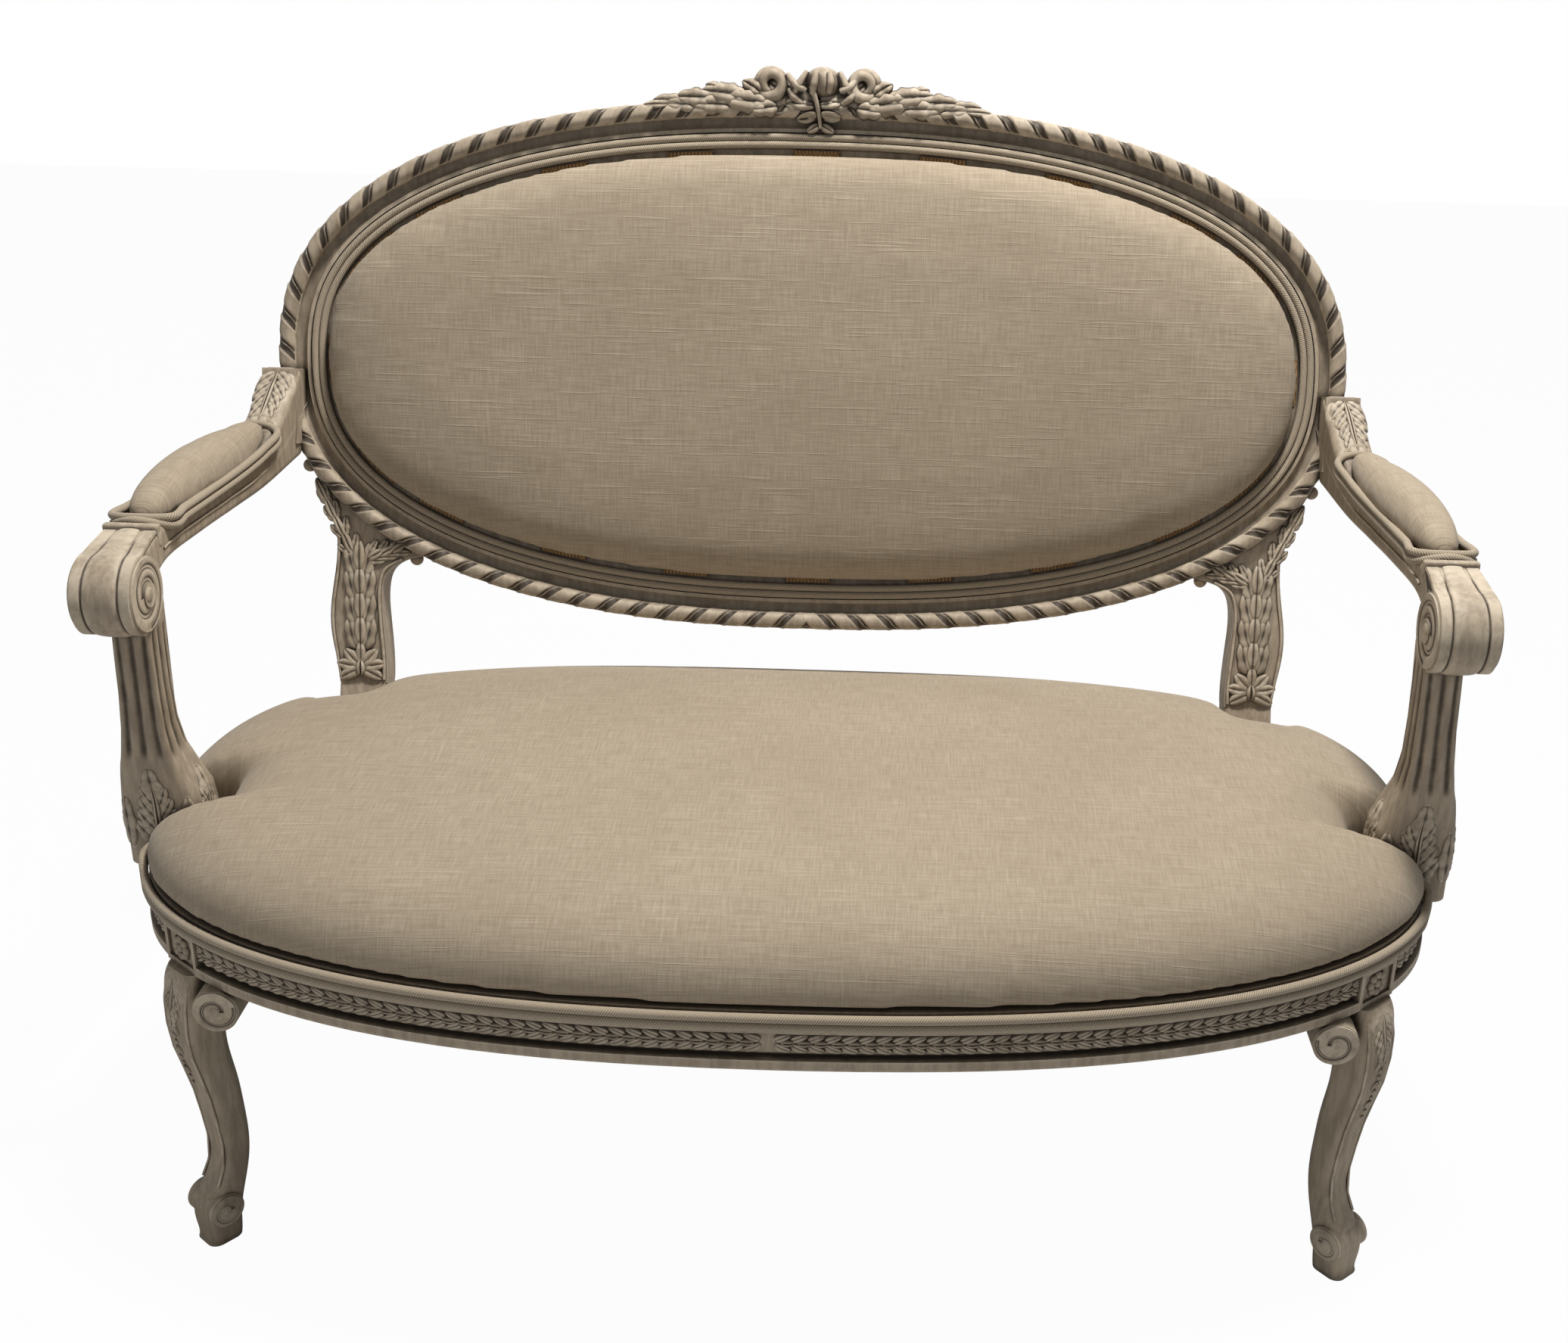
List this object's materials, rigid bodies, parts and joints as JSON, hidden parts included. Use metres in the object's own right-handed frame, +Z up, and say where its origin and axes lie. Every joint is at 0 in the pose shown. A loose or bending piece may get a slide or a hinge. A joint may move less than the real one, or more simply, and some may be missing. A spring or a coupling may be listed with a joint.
{
  "type": "cabriole settee",
  "caption": "Carved and painted settee with an oval upholstered back, padded scroll arms, a bow-fronted seat and cabriole legs.",
  "frame": {"origin": "on the floor, under the middle of the settee's bounding box", "axes": "+X to the right as seen from the front, +Y from the front of the seat to the back, +Z up"},
  "size_m": [1.3272, 0.78, 1.0914],
  "materials": {
    "painted_wood": "distressed greige paint over carved wood, brown wax left in the recesses",
    "linen": "slubby natural linen",
    "linen_cord": "twill-covered twin cord",
    "jute_webbing": "woven jute strap",
    "burlap": "coarse burlap",
    "dust_cloth": "thin black cambric",
    "bare_beech": "unpainted beech",
    "beech_dowel": "fluted beech dowel",
    "steel_screw": "plain zinc"
  },
  "bodies": {
    "root": {"arm_left": "painted_wood", "arm_pad_left": "linen", "arm_pad_right": "linen", "arm_post_dowels": "beech_dowel", "arm_post_left": "painted_wood", "arm_post_right": "painted_wood", "arm_post_screws": "steel_screw", "arm_right": "painted_wood", "arm_welt_left": "linen_cord", "arm_welt_right": "linen_cord", "back_cover_rear": "linen", "back_cushion": "linen", "back_frame_dowels": "beech_dowel", "back_rail_bottom": "painted_wood", "back_rail_top": "painted_wood", "back_side_left": "painted_wood", "back_side_right": "painted_wood", "back_webbing": "jute_webbing", "back_welt": "linen_cord", "corner_block_screws": "steel_screw", "corner_blocks": "bare_beech", "crest_carving": "painted_wood", "dust_cover": "dust_cloth", "front_leg_left": "painted_wood", "front_leg_right": "painted_wood", "rear_leg_left": "painted_wood", "rear_leg_right": "painted_wood", "seat_burlap": "burlap", "seat_cushion": "linen", "seat_rail_back": "painted_wood", "seat_rail_dowels": "beech_dowel", "seat_rail_front": "painted_wood", "seat_rail_left": "painted_wood", "seat_rail_right": "painted_wood", "seat_webbing": "jute_webbing", "seat_welt_front": "linen_cord", "seat_welt_rear": "linen_cord", "seat_welt_side_left": "linen_cord", "seat_welt_side_right": "linen_cord"}
  },
  "joints": []
}
